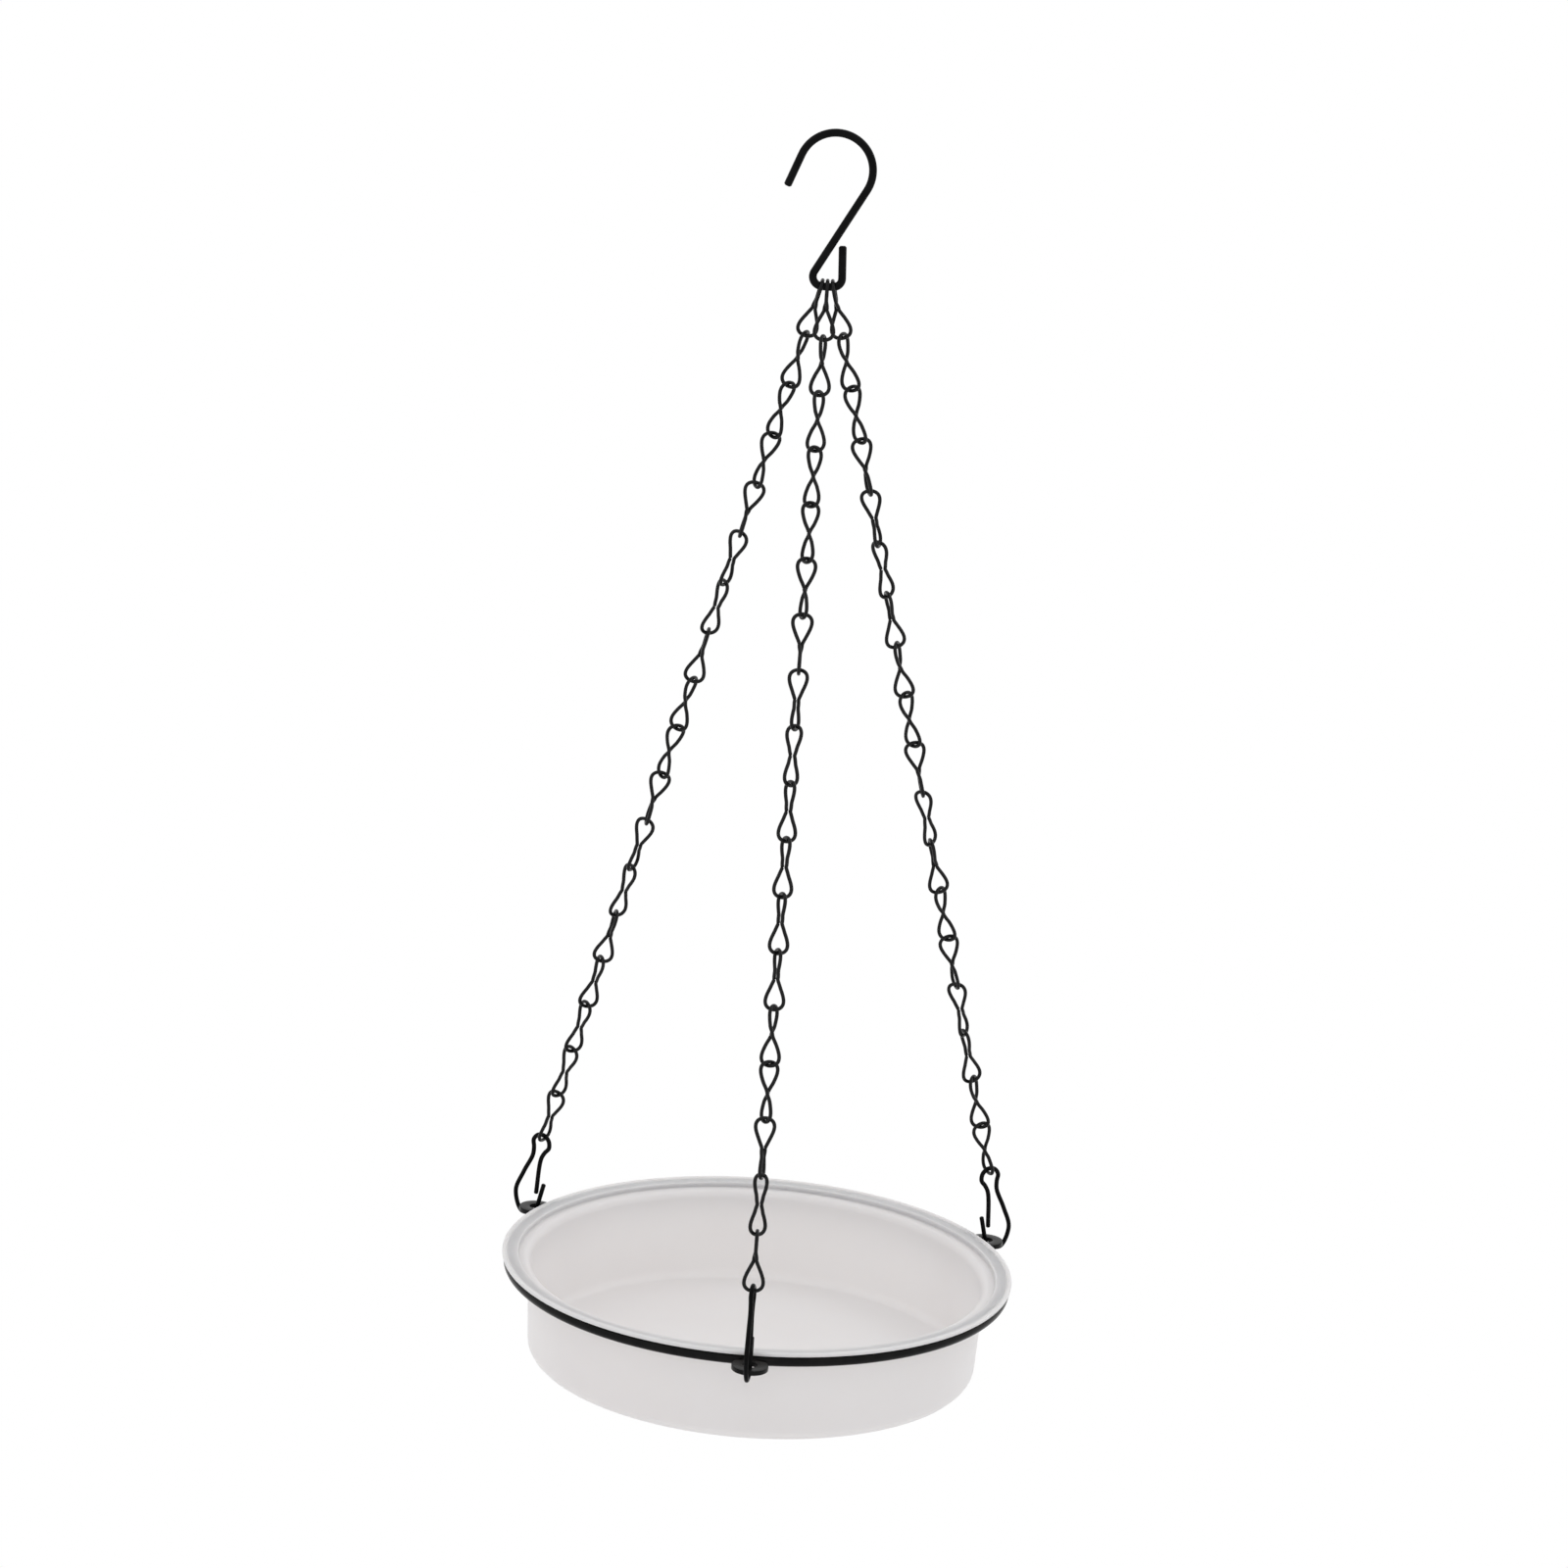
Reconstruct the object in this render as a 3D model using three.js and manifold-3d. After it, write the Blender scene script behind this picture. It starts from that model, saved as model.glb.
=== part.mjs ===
// Hanging bird bath: a plastic dish in a wire ring, carried by three chains and an S-hook.
// Millimetres, +Z up. The origin is the seat of the hook, on the inside of its wide bend.
import * as THREE from 'three';
import { mergeVertices } from 'three/addons/utils/BufferGeometryUtils.js';
import Module from 'manifold-3d';

const wasm = await Module();
wasm.setup();

const radians = THREE.MathUtils.degToRad;

// Clearances
const HANG_GAP = 0.35; // between two wires that hang in each other
const REST_GAP = 0.3; // between two pieces that rest on each other
const CLIP_SLACK = 0.7; // between a clip and the washer that rests in it

// S-hook, radii to the middle of its wire
const HOOK_WIRE = 3.3;
const HOOK_BEND = 15.2;
const HOOK_TIP = 14;
const HOOK_TIP_LEAN = radians(21);
const HOOK_SHANK_LEAN = radians(29);
const HOOK_CORNER = 4;
const HOOK_BAR = 4.4;
const HOOK_END_CORNER = 3.6;
const HOOK_END = 13.3;
const HOOK_END_LEAN = radians(3);

// Chain links
const LINKS = 18;
const LINK_WIRE = 1.6;
const LINK_PITCH = 22.85;
const LINK_WIDTH = 9.4;
const LINK_WAIST_GAP = 0.2; // between the two strands in the middle of a link
const LINK_PINCH = 1.3; // how sharply the loops close to the middle
const LINK_CUT = radians(1.4); // half the opening between the two wire ends
const LINK_TWIST_SPAN = 4; // half the length over which the strands turn
const CHAIN_SPACING = 2.6; // from chain to chain along the hook's bar

// Spring clips, drops measured down from the eye's top along the chain
const CLIP_WIRE = 2;
const CLIP_EYE = 4.3;
const CLIP_NECK = 4.6;
const CLIP_NECK_DROP = 11.2;
const CLIP_HIP = 4.8; // the widest place of the outer arm
const CLIP_HIP_DROP = 31.2;
const CLIP_ARM_BULGE = 0.5;
const CLIP_BOTTOM_DROP = 36.3; // of the level bottom where it leaves the catch
const CLIP_BOTTOM = 7;
const CLIP_CATCH_SHIFT = -7.8;
const CLIP_CATCH = 15.2;
const CLIP_CATCH_LEAN = 0.2; // of the catch's top towards the gate
const CLIP_CATCH_CORNER = 2.5;
const CLIP_GATE_GAP = 0.5;
const CLIP_GATE_OVERLAP = 6.1;

// Support ring and its washers
const RING_WIRE = 4.6;
const RING_RADIUS = 107;
const WASHER_WIDTH = 15.2;
const WASHER_HOLE = 6;
const WASHER_THICK = 2;
const WELD_DEPTH = 1.4;

// Dish, heights measured down from the top of its rim
const DISH_OVERHANG = 3; // rim beyond the middle of the ring wire
const DISH_RIM = 1.8;
const DISH_RIM_STEP = 0.6;
const DISH_RIM_EDGE = 1.6;
const DISH_WALL = 1.4;
const DISH_COLLAR = 3;
const DISH_LEDGE = 5.7;
const DISH_TAPER = 2;
const DISH_CORNER = 5; // outside; the wall keeps its thickness round the corner
const DISH_DEPTH = 44.5;

// Fineness of the round forms
const WIRE_SIDES = 6;
const LINK_SIDES = 5;
const LINK_STEPS = 20;
const CLIP_STEPS = 44;
const CLIP_CORNER_STEP = 45; // degrees between the points that shape a clip's round ends
const BEND_STEP = radians(15);
const ROUND_STEPS = 48;
const CORNER_STEPS = 3;
const WASHER_STEPS = 10;
const LEAN_PASSES = 20; // rounds in which the lean of the chains settles

// A line of joined points for a wire, its section turned half way at every point
class WireLine extends THREE.Curve {
  constructor(points) {
    super();
    this.points = points;
  }

  getUtoTmapping(u) {
    return u;
  }

  getPoint(t, target = new THREE.Vector3()) {
    const last = this.points.length - 1;
    const at = Math.min(Math.floor(t * last), last - 1);
    return target.lerpVectors(this.points[at], this.points[at + 1], t * last - at);
  }

  getTangent(t, target = new THREE.Vector3()) {
    const last = this.points.length - 1;
    const at = Math.round(t * last);
    const from = Math.max(at - 1, 0);
    const to = Math.min(at, last - 1);
    const before = this.points[from + 1].clone().sub(this.points[from]).normalize();
    const after = this.points[to + 1].clone().sub(this.points[to]).normalize();
    return target.addVectors(before, after).normalize();
  }
}

// A flat line in the XZ plane, drawn run by run and bend by bend
class FlatLine {
  constructor(height, heading) {
    this.points = [new THREE.Vector3(0, 0, height)];
    this.heading = heading;
  }

  run(length) {
    const step = new THREE.Vector3(Math.cos(this.heading), 0, Math.sin(this.heading));
    const end = this.points[this.points.length - 1].clone();
    this.points.push(end.addScaledVector(step, length));
  }

  bend(radius, turn) {
    const steps = Math.ceil(Math.abs(turn) / BEND_STEP);
    const half = turn / steps / 2;
    for (let i = 0; i < steps; i += 1) {
      this.heading += half;
      this.run(2 * radius * Math.sin(Math.abs(half)));
      this.heading += half;
    }
  }
}

function roundSection(diameter, sides) {
  const corners = [];
  for (let i = 0; i < sides; i += 1) {
    const angle = (2 * Math.PI * i) / sides;
    corners.push(new THREE.Vector2(Math.cos(angle), Math.sin(angle)).multiplyScalar(diameter / 2));
  }
  return new THREE.Shape(corners);
}

function wire(path, steps, diameter, sides) {
  const options = { steps, extrudePath: path, bevelEnabled: false };
  return new THREE.ExtrudeGeometry(roundSection(diameter, sides), options);
}

function hookLine() {
  const turn = Math.PI / 2 + HOOK_SHANK_LEAN;
  const sideways = (HOOK_BEND + HOOK_CORNER) * Math.sin(turn) + HOOK_BAR / 2;
  const tip = new FlatLine(HOOK_WIRE / 2, Math.PI);
  tip.bend(HOOK_BEND, Math.PI / 2 - HOOK_TIP_LEAN);
  tip.run(HOOK_TIP);
  const shank = new FlatLine(HOOK_WIRE / 2, 0);
  shank.bend(HOOK_BEND, -turn);
  shank.run(sideways / Math.sin(HOOK_SHANK_LEAN));
  shank.bend(HOOK_CORNER, turn);
  shank.run(HOOK_BAR);
  shank.bend(HOOK_END_CORNER, Math.PI / 2 + HOOK_END_LEAN);
  shank.run(HOOK_END);
  return [...tip.points.reverse(), ...shank.points.slice(1)];
}

// Places that follow from the sizes above
const HOOK_LINE = hookLine();
const BAR_HEIGHT = Math.min(...HOOK_LINE.map((point) => point.z));
const LINK_HALF = (LINK_PITCH + HANG_GAP + LINK_WIRE) / 2;
const CHAIN_LENGTH = LINKS * LINK_PITCH - HANG_GAP - (HOOK_WIRE + CLIP_WIRE) / 2;
const WASHER_RADIUS = RING_RADIUS + (RING_WIRE + WASHER_WIDTH) / 2 - WELD_DEPTH;

// How far down the catch the washer lies on the bottom of a leaning clip
function washerDrop(lean) {
  return CLIP_BOTTOM_DROP - (CLIP_WIRE / 2 + CLIP_SLACK + WASHER_THICK / 2) / Math.cos(lean);
}

// The lean at which a chain from the bar brings its clip's catch into the washer's hole
function chainLean() {
  let lean = 0;
  for (let pass = 0; pass < LEAN_PASSES; pass += 1) {
    const outward = CLIP_CATCH_SHIFT * Math.cos(lean) + washerDrop(lean) * Math.sin(lean);
    lean = Math.asin((WASHER_RADIUS - outward) / CHAIN_LENGTH);
  }
  return lean;
}

const LEAN = chainLean();
const EYE_RADIUS = CHAIN_LENGTH * Math.sin(LEAN);
const EYE_HEIGHT = BAR_HEIGHT - CHAIN_LENGTH * Math.cos(LEAN);
const RING_HEIGHT = EYE_HEIGHT + CLIP_CATCH_SHIFT * Math.sin(LEAN) - washerDrop(LEAN) * Math.cos(LEAN);

// The three chains: bearing of the clip, place on the bar, turn of the clip about the chain, and
// how far the upper loop of some links is turned about it (0 broadside to the front, 90 edge on)
const CHAINS = [
  {
    side: 'left',
    bearing: 150,
    place: -1,
    clipTurn: 0,
    turns: [[1, 90], [5, 0], [8, -90], [14, -262], [18, -210]],
  },
  {
    side: 'front',
    bearing: -90,
    place: 0,
    clipTurn: -7,
    turns: [[1, 90], [6, 20], [10, -62], [13, -72], [18, -270]],
  },
  {
    side: 'right',
    bearing: 30,
    place: 1,
    clipTurn: 0,
    turns: [[1, 90], [4, 15], [9, -130], [18, -510]],
  },
];

function blackPaint() {
  return new THREE.MeshStandardMaterial({ color: 0x17181a, roughness: 0.45, metalness: 0.5 });
}

function milkyPlastic() {
  return new THREE.MeshStandardMaterial({ color: 0xd9d6d5, roughness: 0.4, metalness: 0 });
}

function piece(name, geometry, material) {
  const mesh = new THREE.Mesh(geometry, material);
  mesh.name = name;
  return mesh;
}

function bearingPoint(radius, bearing, height) {
  const angle = radians(bearing);
  return new THREE.Vector3(radius * Math.cos(angle), radius * Math.sin(angle), height);
}

function hook() {
  const path = new WireLine(HOOK_LINE);
  return piece('s_hook', wire(path, HOOK_LINE.length - 1, HOOK_WIRE, WIRE_SIDES), blackPaint());
}

// A pinched figure eight whose lower loop stands square to the upper one
function linkLine() {
  const waist = (LINK_WIRE + LINK_WAIST_GAP) / 2;
  const widest = Math.atan(1 / Math.sqrt(LINK_PINCH)); // the place along the line where a loop is widest
  const side = (LINK_WIDTH - LINK_WIRE) / 2 / Math.sin(widest);
  const belly = (side - waist) / Math.cos(widest) ** LINK_PINCH;
  const points = [];
  for (let i = 0; i <= LINK_STEPS; i += 1) {
    const t = THREE.MathUtils.lerp(LINK_CUT, 2 * Math.PI - LINK_CUT, i / LINK_STEPS) - Math.PI / 2;
    const height = LINK_HALF * Math.cos(t);
    const reach = Math.sin(t) * (waist + belly * Math.abs(Math.cos(t)) ** LINK_PINCH);
    const turned = THREE.MathUtils.smoothstep(-height, -LINK_TWIST_SPAN, LINK_TWIST_SPAN);
    const angle = (turned * Math.PI) / 2;
    points.push(new THREE.Vector3(reach * Math.cos(angle), reach * Math.sin(angle), height));
  }
  return points;
}

function turnOf(link, turns) {
  const next = Math.max(1, turns.findIndex(([at]) => at >= link));
  const [low, from] = turns[next - 1];
  const [high, to] = turns[next];
  return radians(THREE.MathUtils.mapLinear(link, low, high, from, to));
}

// One chain in a frame of its own: Z up along the chain, X as near to sideways as it can be
function chain({ side, bearing, place, turns }) {
  const top = new THREE.Vector3(place * CHAIN_SPACING, 0, BAR_HEIGHT);
  const up = top.clone().sub(bearingPoint(EYE_RADIUS, bearing, EYE_HEIGHT));
  const pitch = (up.length() + HANG_GAP + (HOOK_WIRE + CLIP_WIRE) / 2) / LINKS;
  const firstDrop = pitch - LINK_HALF + (LINK_WIRE - HOOK_WIRE) / 2;
  up.normalize();
  const across = new THREE.Vector3(1, 0, 0).addScaledVector(up, -up.x).normalize();
  const frame = new THREE.Group();
  frame.position.copy(top);
  frame.setRotationFromMatrix(new THREE.Matrix4().makeBasis(across, up.clone().cross(across), up));
  const path = new WireLine(linkLine());
  for (let link = 1; link <= LINKS; link += 1) {
    const name = `${side}_link_${String(link).padStart(2, '0')}`;
    const mesh = piece(name, wire(path, LINK_STEPS, LINK_WIRE, LINK_SIDES), blackPaint());
    mesh.position.z = -firstDrop - (link - 1) * pitch;
    mesh.rotation.z = turnOf(link, turns);
    frame.add(mesh);
  }
  return frame;
}

// A point of the clip's level bottom, or above it
function bottomPoint(shift, above) {
  return [shift, CLIP_BOTTOM_DROP + (shift - CLIP_CATCH_SHIFT) * Math.tan(LEAN) - above / Math.cos(LEAN)];
}

// From the top of the catch along the bottom, up the outer arm, round the eye and down the gate
function clipLine() {
  const catchTop = CLIP_BOTTOM_DROP - CLIP_CATCH;
  const points = [[CLIP_CATCH_SHIFT + CLIP_CATCH_LEAN, catchTop]];
  const [cornerShift, cornerDrop] = bottomPoint(CLIP_CATCH_SHIFT + CLIP_CATCH_CORNER, CLIP_CATCH_CORNER);
  for (let i = 0; i <= CORNER_STEPS; i += 1) {
    const angle = THREE.MathUtils.lerp(Math.PI, Math.PI / 2 + LEAN, i / CORNER_STEPS);
    const shift = cornerShift + CLIP_CATCH_CORNER * Math.cos(angle);
    points.push([shift, cornerDrop + CLIP_CATCH_CORNER * Math.sin(angle)]);
  }
  points.push(bottomPoint(CLIP_CATCH_SHIFT + CLIP_BOTTOM, 0));
  points.push([CLIP_HIP, CLIP_HIP_DROP]);
  const armTop = CLIP_NECK / 2;
  points.push([(armTop + CLIP_HIP) / 2 + CLIP_ARM_BULGE, (CLIP_NECK_DROP + CLIP_HIP_DROP) / 2]);
  points.push([armTop, CLIP_NECK_DROP]);
  for (let angle = -45; angle <= 225; angle += CLIP_CORNER_STEP) {
    const eye = bearingPoint(CLIP_EYE, angle, 0);
    points.push([eye.x, CLIP_EYE - eye.y]);
  }
  points.push([-armTop, CLIP_NECK_DROP]);
  const gateEnd = CLIP_CATCH_SHIFT + CLIP_WIRE + CLIP_GATE_GAP;
  points.push([gateEnd, catchTop + CLIP_GATE_OVERLAP]);
  return points.map(([outward, drop]) => new THREE.Vector3(outward, 0, -drop));
}

function clip({ side, bearing, clipTurn }) {
  const path = new THREE.CatmullRomCurve3(clipLine(), false, 'centripetal');
  const mesh = piece(`${side}_clip`, wire(path, CLIP_STEPS, CLIP_WIRE, WIRE_SIDES), blackPaint());
  mesh.position.copy(bearingPoint(EYE_RADIUS, bearing, EYE_HEIGHT));
  mesh.rotation.set(0, -LEAN, radians(bearing), 'ZYX');
  mesh.rotateZ(radians(clipTurn));
  return mesh;
}

function solid(geometry) {
  const bare = new THREE.BufferGeometry();
  bare.setAttribute('position', geometry.getAttribute('position'));
  bare.setIndex(geometry.getIndex());
  const merged = mergeVertices(bare);
  const vertProperties = merged.getAttribute('position').array;
  const triVerts = merged.getIndex().array;
  return new wasm.Manifold(new wasm.Mesh({ numProp: 3, vertProperties, triVerts }));
}

function surface(body) {
  const mesh = body.getMesh();
  const geometry = new THREE.BufferGeometry();
  geometry.setAttribute('position', new THREE.BufferAttribute(mesh.vertProperties, 3));
  geometry.setIndex(new THREE.BufferAttribute(mesh.triVerts, 1));
  geometry.computeVertexNormals();
  return geometry;
}

function hoop() {
  const section = roundSection(RING_WIRE, WIRE_SIDES).getPoints();
  const profile = [...section, section[0]].map(({ x, y }) => new THREE.Vector2(RING_RADIUS + x, y));
  return new THREE.LatheGeometry(profile, ROUND_STEPS).rotateX(Math.PI / 2);
}

// A washer with its hole round the catch of a clip
function washer({ bearing, clipTurn }) {
  const outline = new THREE.Shape().absarc(0, 0, WASHER_WIDTH / 2, 0, 2 * Math.PI);
  outline.holes.push(new THREE.Path().absarc(0, 0, WASHER_HOLE / 2, 0, 2 * Math.PI));
  const options = { depth: WASHER_THICK, curveSegments: WASHER_STEPS, bevelEnabled: false };
  const sideways = CLIP_CATCH_SHIFT * Math.sin(radians(clipTurn));
  const washerBearing = bearing + THREE.MathUtils.radToDeg(sideways / WASHER_RADIUS);
  const place = bearingPoint(WASHER_RADIUS, washerBearing, -WASHER_THICK / 2);
  return new THREE.ExtrudeGeometry(outline, options).translate(place.x, place.y, place.z);
}

function ring() {
  let body = solid(hoop());
  for (const entry of CHAINS) {
    body = body.add(solid(washer(entry)));
  }
  const mesh = piece('support_ring', surface(body), blackPaint());
  mesh.position.z = RING_HEIGHT;
  return mesh;
}

function roundCorner(x, y, radius) {
  const points = [];
  for (let i = 0; i <= CORNER_STEPS; i += 1) {
    const angle = (Math.PI / 2) * (i / CORNER_STEPS - 1);
    points.push([x + radius * Math.cos(angle), y + radius * Math.sin(angle)]);
  }
  return points;
}

// From the middle of the underside out and up to the rim, then down the inside to the floor
function dishProfile() {
  const rim = RING_RADIUS + DISH_OVERHANG;
  const collar = RING_RADIUS - RING_WIRE / 2 - REST_GAP;
  const wallTop = collar - DISH_LEDGE;
  const wallFoot = wallTop - DISH_TAPER;
  const floor = DISH_WALL - DISH_DEPTH;
  const cornerMiddle = [wallFoot - DISH_CORNER, DISH_CORNER - DISH_DEPTH];
  const outer = roundCorner(...cornerMiddle, DISH_CORNER);
  const inner = roundCorner(...cornerMiddle, DISH_CORNER - DISH_WALL);
  return [
    [0, -DISH_DEPTH],
    ...outer,
    [wallTop, -DISH_COLLAR - DISH_WALL],
    [collar, -DISH_COLLAR - DISH_WALL],
    [collar, -DISH_RIM],
    [rim, -DISH_RIM],
    [rim, 0],
    [rim - DISH_RIM_EDGE, 0],
    [rim - DISH_RIM_EDGE - DISH_RIM_STEP, -DISH_RIM_STEP],
    [collar - DISH_WALL, -DISH_RIM_STEP],
    [collar - DISH_WALL, -DISH_COLLAR],
    [wallTop - DISH_WALL, -DISH_COLLAR],
    ...inner.reverse(),
    [0, floor],
  ];
}

function dish() {
  const profile = dishProfile().map(([x, y]) => new THREE.Vector2(x, y));
  const geometry = new THREE.LatheGeometry(profile, ROUND_STEPS).rotateX(Math.PI / 2);
  const mesh = piece('dish', geometry, milkyPlastic());
  mesh.position.z = RING_HEIGHT + RING_WIRE / 2 + REST_GAP + DISH_RIM;
  return mesh;
}

const bath = new THREE.Group();
bath.name = 'hanging_bird_bath';
bath.add(hook(), ...CHAINS.map(chain), ...CHAINS.map(clip), ring(), dish());

export default bath;
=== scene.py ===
import math

import bmesh
import bpy
from mathutils import Matrix, Vector


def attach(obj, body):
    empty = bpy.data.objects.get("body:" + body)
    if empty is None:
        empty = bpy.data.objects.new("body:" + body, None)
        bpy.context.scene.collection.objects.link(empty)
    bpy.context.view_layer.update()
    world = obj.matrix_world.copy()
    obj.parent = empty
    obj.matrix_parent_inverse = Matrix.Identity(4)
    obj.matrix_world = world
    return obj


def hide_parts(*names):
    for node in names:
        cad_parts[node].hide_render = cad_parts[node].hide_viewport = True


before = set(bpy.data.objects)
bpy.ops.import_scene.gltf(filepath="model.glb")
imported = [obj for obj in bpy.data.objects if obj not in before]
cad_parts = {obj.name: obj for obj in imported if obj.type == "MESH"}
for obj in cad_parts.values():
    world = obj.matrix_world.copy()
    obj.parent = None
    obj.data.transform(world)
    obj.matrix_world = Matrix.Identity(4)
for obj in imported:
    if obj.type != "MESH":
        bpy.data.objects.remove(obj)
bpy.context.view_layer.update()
MM = 0.001

# Shapes are in millimetres and degrees

# Places of the pieces below the seat of the hook
BAR_HEIGHT = -61.12
EYE_RADIUS = 113.669
EYE_HEIGHT = -453.281
RING_HEIGHT = -487.617
DISH_HEIGHT = -483.217
CHAIN_LEAN = math.atan(EYE_RADIUS / (BAR_HEIGHT - EYE_HEIGHT))  # in radians

# Wires
WIRE_SIDES = 14
BEND_STEP = 5
CUT_ROUNDING = 0.35  # share of the wire's radius

# S-hook, radii to the middle of its wire
HOOK_WIRE = 3.3
HOOK_SIDES = 20
HOOK_BEND = 15.2
HOOK_TIP = 14
HOOK_TIP_LEAN = 21
HOOK_SHANK_LEAN = 29
HOOK_CORNER = 4
HOOK_BAR = 4.4
HOOK_END_CORNER = 3.6
HOOK_END = 13.3
HOOK_END_LEAN = 3

# Chains
LINKS = 18
LINK_WIRE = 1.6
LINK_SIDES = 10
LINK_STEPS = 96
LINK_HALF = 12.24
LINK_WIDTH = 9.4
LINK_WAIST = 0.84
LINK_PINCH = 1.3
LINK_CUT = 0.05
LINK_TWIST_SPAN = 4
CHAIN_SPACING = 2.6
HANG_GAP = 0.35
# Bearing of the clip, place on the bar, turn of the clip, and turns of the upper loop of some links
CHAINS = {
    "left": (150, -1, 0, [(1, 90), (5, 0), (8, -90), (14, -262), (18, -210)]),
    "front": (-90, 0, -7, [(1, 90), (6, 20), (10, -62), (13, -72), (18, -270)]),
    "right": (30, 1, 0, [(1, 90), (4, 15), (9, -130), (18, -510)]),
}

# Spring clips
CLIP_WIRE = 2
CLIP_EYE = 4.3
CLIP_EYE_STEP = 45
CLIP_NECK = 4.6
CLIP_NECK_DROP = 11.2
CLIP_HIP = 4.8
CLIP_HIP_DROP = 31.2
CLIP_ARM_BULGE = 0.5
CLIP_BOTTOM_DROP = 36.3
CLIP_BOTTOM = 7
CLIP_CATCH_SHIFT = -7.8
CLIP_CATCH = 15.2
CLIP_CATCH_LEAN = 0.2
CLIP_CATCH_CORNER = 2.5
CLIP_CORNER_STEPS = 3
CLIP_GATE_GAP = 0.5
CLIP_GATE_OVERLAP = 6.1

# Support ring, washers and welds
RING_WIRE = 4.6
RING_SIDES = 20
RING_STEPS = 240
RING_RADIUS = 107
WASHER_WIDTH = 15.2
WASHER_HOLE = 6
WASHER_THICK = 2
WASHER_RADIUS = 115.5
WASHER_EDGE = 0.25
WASHER_EDGE_STEPS = 4
WASHER_STEPS = 64
WELD_LENGTH = 7
WELD_DEPTH = 1.69
WELD_HEIGHT = 1.3

# Dish, heights below the top of its rim
DISH_RIM_RADIUS = 110
DISH_COLLAR_RADIUS = 104.4
DISH_WALL_RADIUS = 98.7
DISH_FOOT_RADIUS = 96.7
DISH_RIM = 1.8
DISH_RIM_STEP = 0.6
DISH_RIM_EDGE = 1.6
DISH_WALL = 1.4
DISH_COLLAR = 3
DISH_CORNER = 5
DISH_DEPTH = 44.5
DISH_STEPS = 224
# Roundings of its edges, up the outside and down the inside
WALL_ROUNDING = 3
LEDGE_ROUNDING = 1.2
UNDER_RIM_ROUNDING = 0.3
RIM_FOOT_ROUNDING = 0.6
RIM_TOP_ROUNDING = 0.7
LIP_ROUNDING = 0.5
RIM_STEP_ROUNDING = 0.4
COLLAR_ROUNDING = 0.6
INNER_LEDGE_ROUNDING = 0.7
INNER_WALL_ROUNDING = 3.5

# Finishes: pairs of tones, of scales for patches and grain, of smoothest and roughest,
# and of strength and height in metres for the grain
DEEP_BLACK = ((0.002, 0.002, 0.0022), (0.005, 0.005, 0.0054))
CHAIN_BLACK = ((0.004, 0.004, 0.0042), (0.008, 0.008, 0.0085))
RING_BLACK = ((0.003, 0.003, 0.0032), (0.007, 0.0068, 0.0066))
PAINT_SCALES = (180, 2600)
PAINT_ROUGHNESS = (0.16, 0.26)
CHAIN_ROUGHNESS = (0.2, 0.3)
PAINT_GRAIN = (0.18, 0.0001)
MILKY_WHITE = ((0.70, 0.666, 0.667), (0.72, 0.695, 0.698))
MILKY_SCALES = (9, 700)
MILKY_ROUGHNESS = (0.3, 0.42)
MILKY_GRAIN = (0.03, 0.0002)
# Noise between which the mottle goes from one end of a pair to the other
TONE_SPREAD = (0.35, 0.65)
ROUGHNESS_SPREAD = (0.3, 0.7)

# Camera and floor
CAMERA_PLACE = Vector((14.26, -1846.17, 184.94))
CAMERA_TARGET = Vector((-3.16, 0, -271.45))
CAMERA_ROLL = 4.089
CAMERA_LENS = 103.91
CAMERA_SENSOR = 36
CAMERA_REACH = 50  # in metres
FLOOR_HEIGHT = -1050
FLOOR_RADIUS = 1600
FLOOR_SIDES = 96
FLOOR_TONE = 0.9
FLOOR_ROUGHNESS = 0.9
FLOOR_FADE = (0.3, 0.9)  # from pale to white, in metres from the middle

# Light, with lamps in metres and watts
LIGHT_AROUND = 0.98
LIGHT_ABOVE = 0.72
LAMP_WIDTH = 0.9
LAMP_HEIGHT = 0.35
LAMP_AIM = Vector((0, 0, -0.4))
LAMPS = {
    "left_lamp": (Vector((-0.8, -0.1, 0.6)), 0.8),
    "right_lamp": (Vector((0.75, 0.35, 0.55)), 1.6),
}


def turned(point, degrees):
    return Matrix.Rotation(math.radians(degrees), 3, "Z") @ Vector(point)


# Meshes

def mesh_piece(name, bm, material):
    """Puts a mesh in millimetres into the scene as one smooth piece."""
    bmesh.ops.recalc_face_normals(bm, faces=bm.faces[:])
    bmesh.ops.scale(bm, vec=(MM, MM, MM), verts=bm.verts[:])
    mesh = bpy.data.meshes.new(name)
    bm.to_mesh(mesh)
    bm.free()
    mesh.shade_smooth()
    mesh.materials.append(material)
    piece = bpy.data.objects.new(name, mesh)
    bpy.context.scene.collection.objects.link(piece)
    return piece


def stand_in(piece, body, node):
    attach(piece, body)
    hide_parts(node)


def directions(points):
    """Directions along a line of points, half way between the stretches at each point."""
    result = []
    for i in range(len(points)):
        before = points[max(i, 1)] - points[max(i, 1) - 1]
        after = points[min(i + 1, len(points) - 1)] - points[min(i, len(points) - 2)]
        result.append((before.normalized() + after.normalized()).normalized())
    return result


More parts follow.
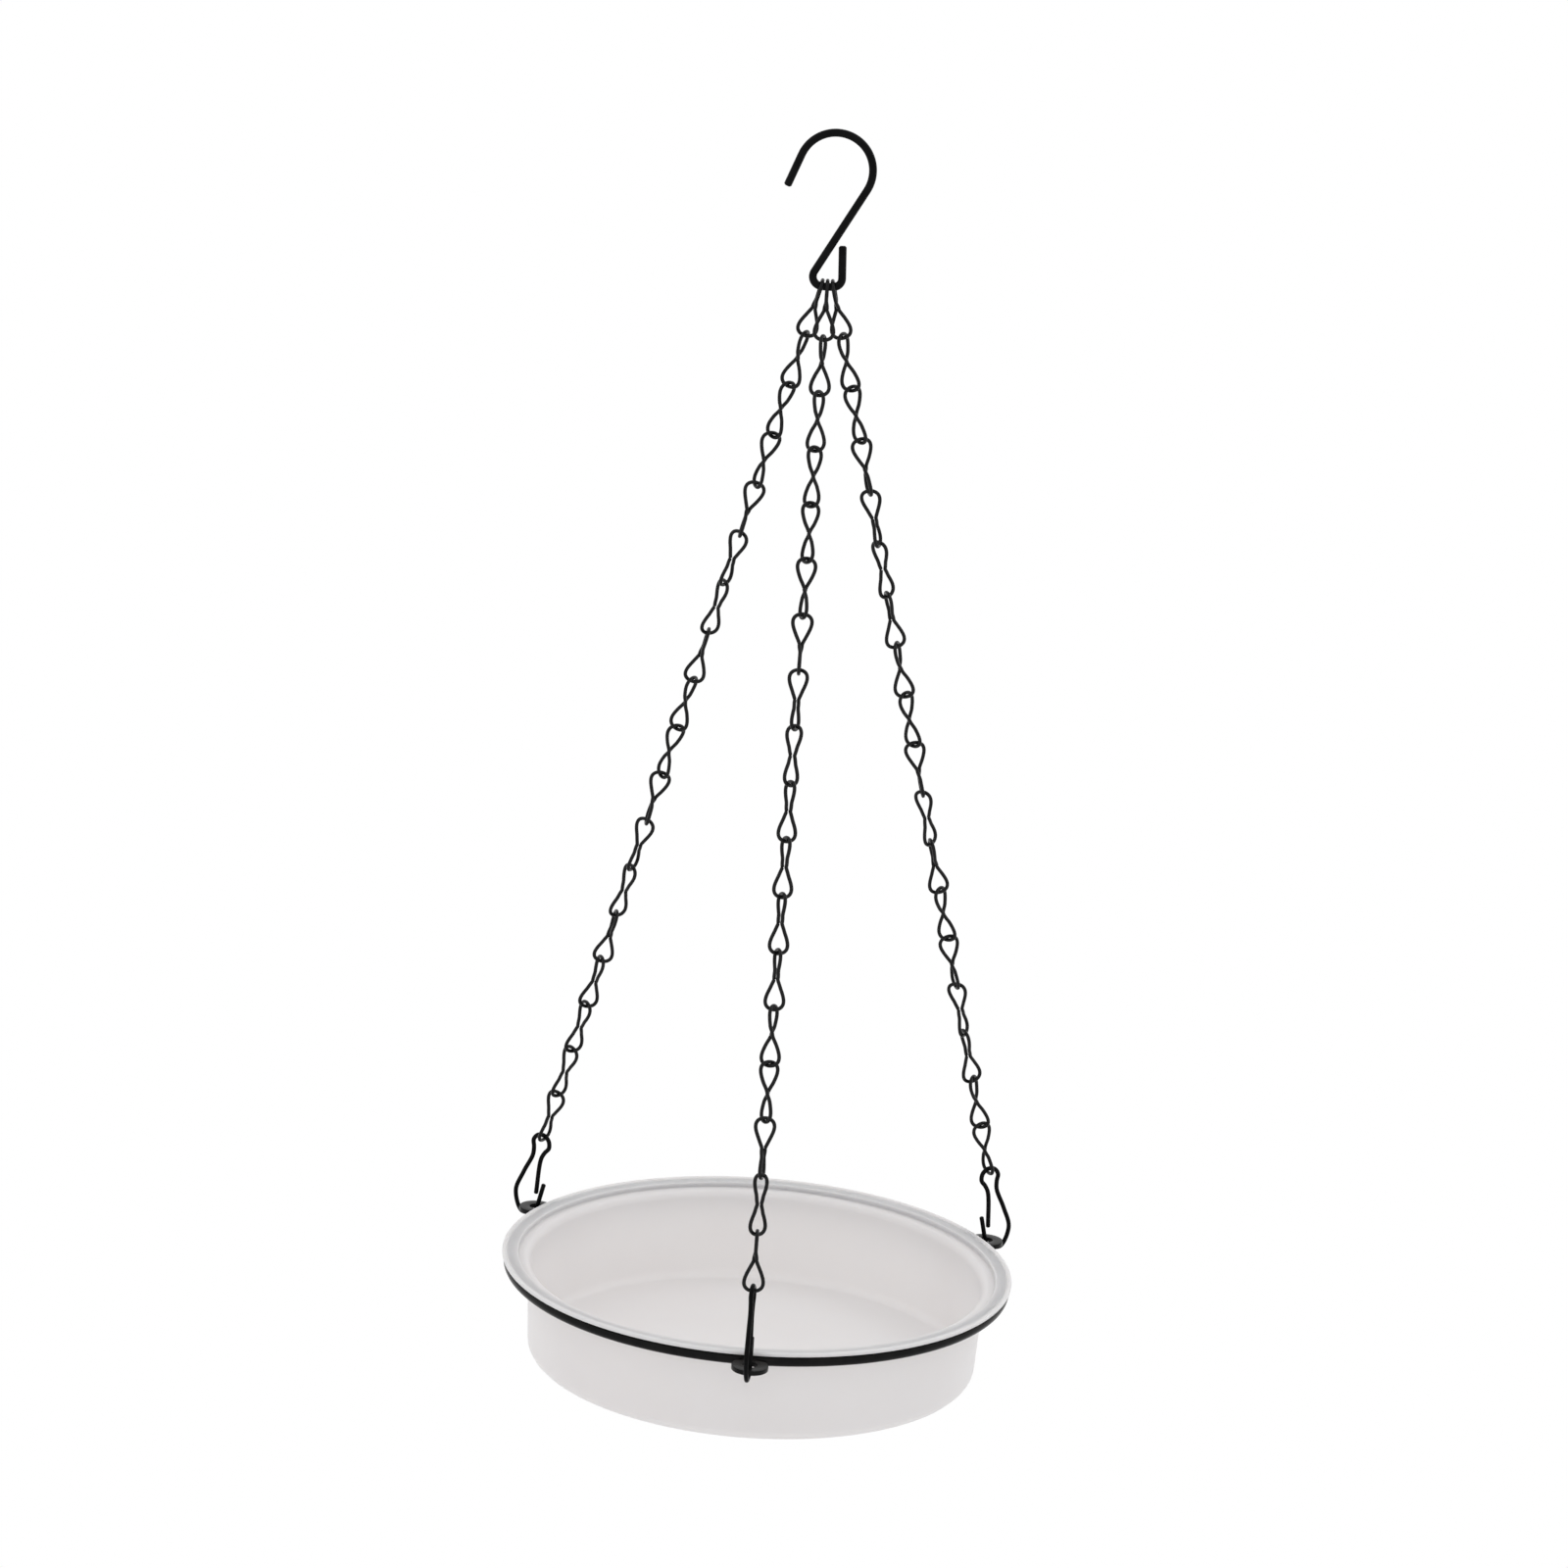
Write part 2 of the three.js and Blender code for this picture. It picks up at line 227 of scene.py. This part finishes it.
def wire(bm, points, diameter, sides=WIRE_SIDES):
    """Sweeps a round wire along a line of points, with slightly rounded cut ends."""
    along = directions(points)
    start, end = points[0], points[-1]
    radius = diameter / 2
    round_off = radius * CUT_ROUNDING
    stations = [(start, along[0], radius - round_off)]
    stations.append((start + along[0] * round_off, along[0], radius))
    stations += [(p, d, radius) for p, d in zip(points[1:-1], along[1:-1])]
    stations.append((end - along[-1] * round_off, along[-1], radius))
    stations.append((end, along[-1], radius - round_off))
    side = stations[0][1].orthogonal().normalized()
    rings = []
    for place, direction, size in stations:
        side = (side - direction * side.dot(direction)).normalized()
        other = direction.cross(side)
        ring = []
        for i in range(sides):
            angle = 2 * math.pi * i / sides
            outward = side * math.cos(angle) + other * math.sin(angle)
            ring.append(bm.verts.new(place + outward * size))
        rings.append(ring)
    for low, high in zip(rings, rings[1:]):
        for i in range(sides):
            j = (i + 1) % sides
            bm.faces.new((low[i], low[j], high[j], high[i]))
    bm.faces.new(rings[0][::-1])
    bm.faces.new(rings[-1])


def lathe(bm, profile, steps, closed=False):
    """Turns a profile of (radius, height) about the Z axis; a radius of 0 closes to a point."""
    loops = []
    for radius, height in profile:
        if radius == 0:
            loops.append([bm.verts.new((0, 0, height))] * steps)
            continue
        loop = []
        for i in range(steps):
            loop.append(bm.verts.new(turned((radius, 0, height), 360 * i / steps)))
        loops.append(loop)
    if closed:
        loops.append(loops[0])
    for low, high in zip(loops, loops[1:]):
        for i in range(steps):
            j = (i + 1) % steps
            corners = [low[i], low[j], high[j], high[i]]
            bm.faces.new(dict.fromkeys(corners))


def rounded(corners, steps=5):
    """Rounds the corners of a profile; each corner is (radius, height, rounding)."""
    points = []
    for i, (x, y, size) in enumerate(corners):
        here = Vector((x, y))
        if size == 0:
            points.append(tuple(here))
            continue
        back = (Vector(corners[i - 1][:2]) - here).normalized()
        ahead = (Vector(corners[(i + 1) % len(corners)][:2]) - here).normalized()
        half = back.angle(ahead) / 2
        centre = here + (back + ahead).normalized() * (size / math.sin(half))
        start = here + back * (size / math.tan(half)) - centre
        end = here + ahead * (size / math.tan(half)) - centre
        for k in range(steps + 1):
            points.append(tuple(centre + start.slerp(end, k / steps).normalized() * size))
    return points


# Lines of the wires

class FlatLine:
    """A line in the XZ plane, drawn run by run and bend by bend."""

    def __init__(self, height, heading):
        self.points = [Vector((0, 0, height))]
        self.heading = heading

    def run(self, length):
        angle = math.radians(self.heading)
        step = Vector((math.cos(angle), 0, math.sin(angle)))
        self.points.append(self.points[-1] + step * length)

    def bend(self, radius, turn):
        steps = math.ceil(abs(turn) / BEND_STEP)
        half = turn / steps / 2
        for _ in range(steps):
            self.heading += half
            self.run(2 * radius * math.sin(math.radians(abs(half))))
            self.heading += half


def hook_line():
    """From the tip over the wide bend and down the shank to the bar and its upright end."""
    turn = 90 + HOOK_SHANK_LEAN
    sideways = (HOOK_BEND + HOOK_CORNER) * math.sin(math.radians(turn)) + HOOK_BAR / 2
    tip = FlatLine(HOOK_WIRE / 2, 180)
    tip.bend(HOOK_BEND, 90 - HOOK_TIP_LEAN)
    tip.run(HOOK_TIP)
    shank = FlatLine(HOOK_WIRE / 2, 0)
    shank.bend(HOOK_BEND, -turn)
    shank.run(sideways / math.sin(math.radians(HOOK_SHANK_LEAN)))
    shank.bend(HOOK_CORNER, turn)
    shank.run(HOOK_BAR)
    shank.bend(HOOK_END_CORNER, 90 + HOOK_END_LEAN)
    shank.run(HOOK_END)
    return tip.points[::-1] + shank.points[1:]


def link_line():
    """A pinched figure eight whose lower loop stands square to the upper one."""
    widest = math.atan(1 / math.sqrt(LINK_PINCH))
    reach_there = (LINK_WIDTH - LINK_WIRE) / 2 / math.sin(widest)
    belly = (reach_there - LINK_WAIST) / math.cos(widest) ** LINK_PINCH
    points = []
    for i in range(LINK_STEPS + 1):
        t = math.radians(LINK_CUT + (360 - 2 * LINK_CUT) * i / LINK_STEPS - 90)
        height = LINK_HALF * math.cos(t)
        reach = math.sin(t) * (LINK_WAIST + belly * abs(math.cos(t)) ** LINK_PINCH)
        part = min(max((LINK_TWIST_SPAN - height) / (2 * LINK_TWIST_SPAN), 0), 1)
        angle = 90 * part * part * (3 - 2 * part)
        points.append(turned((reach, 0, height), angle))
    return points


def smooth_line(points, steps=12):
    """A smooth line through points, its bends spread by the points' spacing."""
    ends = [points[0] * 2 - points[1], *points, points[-1] * 2 - points[-2]]
    line = []
    for a, b, c, d in zip(ends, ends[1:], ends[2:], ends[3:]):
        ab, bc, cd = [math.sqrt((q - p).length) for p, q in ((a, b), (b, c), (c, d))]
        leave = ((b - a) / ab - (c - a) / (ab + bc) + (c - b) / bc) * bc
        arrive = ((c - b) / bc - (d - b) / (bc + cd) + (d - c) / cd) * bc
        for i in range(steps):
            t = i / steps
            bend = (c - b) * 3 - leave * 2 - arrive
            line.append(b + leave * t + bend * t * t + ((b - c) * 2 + leave + arrive) * t ** 3)
    return line + [points[-1]]


def clip_line():
    """From the top of the catch along the bottom, up the outer arm, round the eye, down the gate."""
    def bottom(shift, above):
        drop = CLIP_BOTTOM_DROP + (shift - CLIP_CATCH_SHIFT) * math.tan(CHAIN_LEAN)
        return Vector((shift, drop - above / math.cos(CHAIN_LEAN)))

    catch_top = CLIP_BOTTOM_DROP - CLIP_CATCH
    points = [(CLIP_CATCH_SHIFT + CLIP_CATCH_LEAN, catch_top)]
    middle = bottom(CLIP_CATCH_SHIFT + CLIP_CATCH_CORNER, CLIP_CATCH_CORNER)
    for i in range(CLIP_CORNER_STEPS + 1):
        angle = math.pi + (CHAIN_LEAN - math.pi / 2) * i / CLIP_CORNER_STEPS
        points.append(middle + Vector((math.cos(angle), math.sin(angle))) * CLIP_CATCH_CORNER)
    points.append(bottom(CLIP_CATCH_SHIFT + CLIP_BOTTOM, 0))
    points.append((CLIP_HIP, CLIP_HIP_DROP))
    arm_top = CLIP_NECK / 2
    arm_middle = (arm_top + CLIP_HIP) / 2 + CLIP_ARM_BULGE
    points.append((arm_middle, (CLIP_NECK_DROP + CLIP_HIP_DROP) / 2))
    points.append((arm_top, CLIP_NECK_DROP))
    for angle in range(-CLIP_EYE_STEP, 180 + CLIP_EYE_STEP + 1, CLIP_EYE_STEP):
        eye = turned((CLIP_EYE, 0, 0), angle)
        points.append((eye.x, CLIP_EYE - eye.y))
    points.append((-arm_top, CLIP_NECK_DROP))
    gate_end = CLIP_CATCH_SHIFT + CLIP_WIRE + CLIP_GATE_GAP
    points.append((gate_end, catch_top + CLIP_GATE_OVERLAP))
    return smooth_line([Vector((outward, 0, -drop)) for outward, drop in points])


# Materials

def node(tree, kind, **values):
    """Adds a node; values are its properties or the settings of its inputs."""
    made = tree.nodes.new("ShaderNode" + kind)
    for key, value in values.items():
        name = key.replace("_", " ")
        if name in made.inputs:
            made.inputs[name].default_value = value
        else:
            setattr(made, key, value)
    return made


def ranged(tree, source, low, high, to_low, to_high):
    """Takes a value from one range to another, whose ends are numbers or sockets."""
    made = node(tree, "MapRange", From_Min=low, From_Max=high)
    for name, value in (("To Min", to_low), ("To Max", to_high)):
        if isinstance(value, bpy.types.NodeSocket):
            tree.links.new(value, made.inputs[name])
        else:
            made.inputs[name].default_value = value
    tree.links.new(source, made.inputs["Value"])
    return made.outputs["Result"]


def mottle_group():
    """Soft patches and fine grain: a colour between two tones, a roughness and a height."""
    group = bpy.data.node_groups.new("mottled_finish", "ShaderNodeTree")
    for name, kind in (("Tone", "NodeSocketColor"), ("Second Tone", "NodeSocketColor"),
                       ("Patch Scale", "NodeSocketFloat"), ("Grain Scale", "NodeSocketFloat"),
                       ("Smoothest", "NodeSocketFloat"), ("Roughest", "NodeSocketFloat")):
        group.interface.new_socket(name, in_out="INPUT", socket_type=kind)
    for name, kind in (("Color", "NodeSocketColor"), ("Roughness", "NodeSocketFloat"),
                       ("Height", "NodeSocketFloat")):
        group.interface.new_socket(name, in_out="OUTPUT", socket_type=kind)
    given = group.nodes.new("NodeGroupInput").outputs
    result = group.nodes.new("NodeGroupOutput").inputs
    place = node(group, "TexCoord").outputs["Object"]
    patches = node(group, "TexNoise", Detail=4, Roughness=0.6)
    grain = node(group, "TexNoise", Detail=3)
    for texture, scale in ((patches, "Patch Scale"), (grain, "Grain Scale")):
        group.links.new(place, texture.inputs["Vector"])
        group.links.new(given[scale], texture.inputs["Scale"])
    tone = node(group, "Mix", data_type="RGBA")
    # The colour sockets of a mix come after those for numbers and vectors
    first_tone, second_tone, mixed_tone = tone.inputs[6], tone.inputs[7], tone.outputs[2]
    spread = ranged(group, patches.outputs["Fac"], *TONE_SPREAD, 0.0, 1.0)
    group.links.new(spread, tone.inputs["Factor"])
    group.links.new(given["Tone"], first_tone)
    group.links.new(given["Second Tone"], second_tone)
    rough = ranged(group, patches.outputs["Fac"], *ROUGHNESS_SPREAD,
                   given["Smoothest"], given["Roughest"])
    group.links.new(mixed_tone, result["Color"])
    group.links.new(rough, result["Roughness"])
    group.links.new(grain.outputs["Fac"], result["Height"])
    return group


MOTTLED = mottle_group()


def mottled_material(name, tones, scales, roughness, grain):
    """A material with the shared mottle, and its shader."""
    material = bpy.data.materials.new(name)
    material.use_nodes = True
    tree = material.node_tree
    shader = tree.nodes["Principled BSDF"]
    finish = tree.nodes.new("ShaderNodeGroup")
    finish.node_tree = MOTTLED
    settings = {"Tone": (*tones[0], 1), "Second Tone": (*tones[1], 1),
                "Patch Scale": scales[0], "Grain Scale": scales[1],
                "Smoothest": roughness[0], "Roughest": roughness[1]}
    for key, value in settings.items():
        finish.inputs[key].default_value = value
    surface = node(tree, "Bump", Strength=grain[0], Distance=grain[1])
    tree.links.new(finish.outputs["Height"], surface.inputs["Height"])
    tree.links.new(finish.outputs["Color"], shader.inputs["Base Color"])
    tree.links.new(finish.outputs["Roughness"], shader.inputs["Roughness"])
    tree.links.new(surface.outputs["Normal"], shader.inputs["Normal"])
    return material, shader


def black_paint(name, tones, roughness, shine):
    material, shader = mottled_material(name, tones, PAINT_SCALES, roughness, PAINT_GRAIN)
    shader.inputs["Specular IOR Level"].default_value = shine
    return material


def milky_plastic():
    material, shader = mottled_material(
        "milky_plastic", MILKY_WHITE, MILKY_SCALES, MILKY_ROUGHNESS, MILKY_GRAIN)
    shader.inputs["Subsurface Weight"].default_value = 1.0
    shader.inputs["Subsurface Radius"].default_value = (1, 0.95, 0.9)
    shader.inputs["Subsurface Scale"].default_value = 0.009
    shader.inputs["Specular IOR Level"].default_value = 0.2
    return material


HOOK_PAINT = black_paint("hook_paint", DEEP_BLACK, PAINT_ROUGHNESS, shine=0.06)
CHAIN_PAINT = black_paint("chain_paint", CHAIN_BLACK, CHAIN_ROUGHNESS, shine=0.16)
CLIP_PAINT = black_paint("clip_paint", DEEP_BLACK, PAINT_ROUGHNESS, shine=0.05)
RING_PAINT = black_paint("ring_paint", RING_BLACK, PAINT_ROUGHNESS, shine=0.1)
MILKY_PLASTIC = milky_plastic()


# Pieces

def make_hook():
    bm = bmesh.new()
    wire(bm, hook_line(), HOOK_WIRE, HOOK_SIDES)
    stand_in(mesh_piece("s_hook_wire", bm, HOOK_PAINT), "hook", "s_hook")


def link_turn(link, turns):
    """The turn of a link, spread evenly between the links whose turns are given."""
    after = max(1, next(i for i, (at, _) in enumerate(turns) if at >= link))
    (low, start), (high, end) = turns[after - 1], turns[after]
    return start + (end - start) * (link - low) / (high - low)


def chain_frame(bearing, place):
    """Place and axes of a chain, Z up along it, with its pitch and the drop of its first link."""
    top = Vector((place * CHAIN_SPACING, 0, BAR_HEIGHT))
    up = top - turned((EYE_RADIUS, 0, EYE_HEIGHT), bearing)
    pitch = (up.length + HANG_GAP + (HOOK_WIRE + CLIP_WIRE) / 2) / LINKS
    first_drop = pitch - LINK_HALF + (LINK_WIRE - HOOK_WIRE) / 2
    up.normalize()
    across = (Vector((1, 0, 0)) - up * up.x).normalized()
    axes = Matrix((across, up.cross(across), up)).transposed()
    return Matrix.Translation(top) @ axes.to_4x4(), pitch, first_drop


def make_chain(side, bearing, place, turns):
    axes, pitch, first_drop = chain_frame(bearing, place)
    line = link_line()
    for link in range(1, LINKS + 1):
        name = f"{side}_link_{link:02d}"
        drop = Vector((0, 0, -first_drop - (link - 1) * pitch))
        turn = link_turn(link, turns)
        bm = bmesh.new()
        wire(bm, [axes @ (turned(point, turn) + drop) for point in line], LINK_WIRE, LINK_SIDES)
        body = "top_links" if link == 1 else name
        stand_in(mesh_piece(name + "_wire", bm, CHAIN_PAINT), body, name)


def make_clip(side, bearing, turn):
    eye = turned((EYE_RADIUS, 0, EYE_HEIGHT), bearing)
    facing = Matrix.Rotation(math.radians(bearing), 3, "Z")
    axes = facing @ Matrix.Rotation(-CHAIN_LEAN, 3, "Y")
    bm = bmesh.new()
    wire(bm, [axes @ turned(point, turn) + eye for point in clip_line()], CLIP_WIRE)
    piece = mesh_piece(f"{side}_clip_wire", bm, CLIP_PAINT)
    stand_in(piece, f"{side}_clip", f"{side}_clip")


def joined(pieces):
    """Joins closed pieces into the first one and takes the others away."""
    first, *others = pieces
    for other in others:
        weld = first.modifiers.new("weld", "BOOLEAN")
        weld.operation = "UNION"
        weld.object = other
    bpy.context.view_layer.update()
    whole = first.evaluated_get(bpy.context.evaluated_depsgraph_get())
    mesh = bpy.data.meshes.new_from_object(whole)
    first.modifiers.clear()
    first.data = mesh
    for other in others:
        bpy.data.objects.remove(other)
    return first


def washer(bearing):
    """A washer lying flat against the outside of the hoop."""
    outer, inner, half = WASHER_WIDTH / 2, WASHER_HOLE / 2, WASHER_THICK / 2
    corners = [(inner, -half), (outer, -half), (outer, half), (inner, half)]
    profile = rounded([(*corner, WASHER_EDGE) for corner in corners], WASHER_EDGE_STEPS)
    bm = bmesh.new()
    lathe(bm, profile, WASHER_STEPS, closed=True)
    place = turned((WASHER_RADIUS, 0, 0), bearing) + Vector((0, 0, RING_HEIGHT))
    bmesh.ops.translate(bm, vec=place, verts=bm.verts[:])
    return mesh_piece("washer", bm, RING_PAINT)


def weld_bead(bearing):
    """A low bead of weld that follows the hoop under and over the edge of a washer."""
    bm = bmesh.new()
    bmesh.ops.create_uvsphere(bm, u_segments=24, v_segments=14, radius=1)
    size = Matrix.Diagonal((WELD_DEPTH, WELD_LENGTH / 2, WELD_HEIGHT))
    place = Vector((RING_RADIUS + RING_WIRE / 2, 0, RING_HEIGHT))
    for vert in bm.verts:
        vert.co = turned(size @ vert.co + place, bearing)
    return mesh_piece("weld_bead", bm, RING_PAINT)


def make_ring():
    section = []
    radius = RING_WIRE / 2
    for i in range(RING_SIDES):
        angle = 2 * math.pi * i / RING_SIDES
        outward, up = radius * math.cos(angle), radius * math.sin(angle)
        section.append((RING_RADIUS + outward, RING_HEIGHT + up))
    bm = bmesh.new()
    lathe(bm, section, RING_STEPS, closed=True)
    parts = [mesh_piece("support_ring_wire", bm, RING_PAINT)]
    for bearing, _, turn, _ in CHAINS.values():
        sideways = CLIP_CATCH_SHIFT * math.sin(math.radians(turn))
        washer_bearing = bearing + math.degrees(sideways / WASHER_RADIUS)
        parts += [washer(washer_bearing), weld_bead(washer_bearing)]
    stand_in(joined(parts), "ring", "support_ring")


def dish_profile():
    """From the middle of the underside out and up to the rim, then down the inside to the floor."""
    inner_wall = DISH_WALL_RADIUS - DISH_WALL
    inner_collar = DISH_COLLAR_RADIUS - DISH_WALL
    inner_foot = DISH_FOOT_RADIUS - DISH_WALL
    lip = DISH_RIM_RADIUS - DISH_RIM_EDGE
    floor = DISH_WALL - DISH_DEPTH
    ledge = -DISH_COLLAR - DISH_WALL
    corners = [
        (0, -DISH_DEPTH, 0),
        (DISH_FOOT_RADIUS, -DISH_DEPTH, DISH_CORNER),
        (DISH_WALL_RADIUS, ledge, WALL_ROUNDING),
        (DISH_COLLAR_RADIUS, ledge, LEDGE_ROUNDING),
        (DISH_COLLAR_RADIUS, -DISH_RIM, UNDER_RIM_ROUNDING),
        (DISH_RIM_RADIUS, -DISH_RIM, RIM_FOOT_ROUNDING),
        (DISH_RIM_RADIUS, 0, RIM_TOP_ROUNDING),
        (lip, 0, LIP_ROUNDING),
        (lip - DISH_RIM_STEP, -DISH_RIM_STEP, RIM_STEP_ROUNDING),
        (inner_collar, -DISH_RIM_STEP, COLLAR_ROUNDING),
        (inner_collar, -DISH_COLLAR, INNER_LEDGE_ROUNDING),
        (inner_wall, -DISH_COLLAR, INNER_WALL_ROUNDING),
        (inner_foot, floor, DISH_CORNER - DISH_WALL),
        (0, floor, 0),
    ]
    return [(radius, height + DISH_HEIGHT) for radius, height in rounded(corners)]


def make_dish():
    bm = bmesh.new()
    lathe(bm, dish_profile(), DISH_STEPS)
    stand_in(mesh_piece("milky_dish", bm, MILKY_PLASTIC), "dish", "dish")


# Stage

def make_camera():
    data = bpy.data.cameras.new("camera")
    data.sensor_width = CAMERA_SENSOR
    data.lens = CAMERA_LENS
    data.clip_end = CAMERA_REACH
    camera = bpy.data.objects.new("camera", data)
    look = (CAMERA_TARGET - CAMERA_PLACE).to_track_quat("-Z", "Y").to_matrix()
    roll = Matrix.Rotation(math.radians(CAMERA_ROLL), 3, "Z")
    camera.matrix_world = Matrix.Translation(CAMERA_PLACE * MM) @ (look @ roll).to_4x4()
    bpy.context.scene.collection.objects.link(camera)
    bpy.context.scene.camera = camera


def background_seen(tree):
    """1 where the background is seen straight, in a reflection or through the plastic."""
    path = node(tree, "LightPath").outputs
    seen = path["Is Camera Ray"]
    for ray in ("Is Glossy Ray", "Is Transmission Ray"):
        either = node(tree, "Math", operation="MAXIMUM")
        tree.links.new(seen, either.inputs[0])
        tree.links.new(path[ray], either.inputs[1])
        seen = either.outputs[0]
    return seen


def make_world():
    """A soft light, stronger from around than from above, and white where the background is seen."""
    world = bpy.data.worlds.new("studio")
    world.use_nodes = True
    tree = world.node_tree
    sky = tree.nodes["Background"]
    sky.inputs["Color"].default_value = (1, 1, 1, 1)
    direction = node(tree, "SeparateXYZ")
    tree.links.new(node(tree, "TexCoord").outputs["Generated"], direction.inputs["Vector"])
    light = ranged(tree, direction.outputs["Z"], 0, 1, LIGHT_AROUND, LIGHT_ABOVE)
    strength = ranged(tree, background_seen(tree), 0, 1, light, 1.0)
    tree.links.new(strength, sky.inputs["Strength"])
    bpy.context.scene.world = world


def floor_material():
    """Pale under the object, where its shadow falls, and white further out."""
    material = bpy.data.materials.new("pale_floor")
    material.use_nodes = True
    tree = material.node_tree
    shader = tree.nodes["Principled BSDF"]
    shader.inputs["Base Color"].default_value = (FLOOR_TONE, FLOOR_TONE, FLOOR_TONE, 1)
    shader.inputs["Roughness"].default_value = FLOOR_ROUGHNESS
    glow = node(tree, "Emission", Strength=1.0)
    distance = node(tree, "VectorMath", operation="LENGTH")
    tree.links.new(node(tree, "TexCoord").outputs["Object"], distance.inputs[0])
    far = ranged(tree, distance.outputs["Value"], *FLOOR_FADE, 0.0, 1.0)
    share = node(tree, "Math", operation="MULTIPLY")
    tree.links.new(far, share.inputs[0])
    tree.links.new(background_seen(tree), share.inputs[1])
    mix = tree.nodes.new("ShaderNodeMixShader")
    tree.links.new(share.outputs[0], mix.inputs["Fac"])
    tree.links.new(shader.outputs["BSDF"], mix.inputs[1])
    tree.links.new(glow.outputs["Emission"], mix.inputs[2])
    tree.links.new(mix.outputs["Shader"], tree.nodes["Material Output"].inputs["Surface"])
    return material


def make_floor():
    bm = bmesh.new()
    bmesh.ops.create_circle(bm, cap_ends=True, segments=FLOOR_SIDES, radius=FLOOR_RADIUS)
    floor = mesh_piece("floor", bm, floor_material())
    floor.location.z = FLOOR_HEIGHT * MM


def make_lamp(name, place, power):
    """A soft lamp that faces the bath and isn't seen itself."""
    data = bpy.data.lights.new(name, "AREA")
    data.shape = "RECTANGLE"
    data.size = LAMP_WIDTH
    data.size_y = LAMP_HEIGHT
    data.energy = power
    lamp = bpy.data.objects.new(name, data)
    lamp.visible_camera = False
    lamp.location = place
    lamp.rotation_euler = (LAMP_AIM - place).to_track_quat("-Z", "Y").to_euler()
    bpy.context.scene.collection.objects.link(lamp)


make_camera()
make_world()
make_floor()
for lamp_name, (lamp_place, lamp_power) in LAMPS.items():
    make_lamp(lamp_name, lamp_place, lamp_power)
make_hook()
for chain, (chain_bearing, chain_place, clip_turn, chain_turns) in CHAINS.items():
    make_chain(chain, chain_bearing, chain_place, chain_turns)
    make_clip(chain, chain_bearing, clip_turn)
make_ring()
make_dish()
bpy.context.scene.view_settings.view_transform = "Standard"
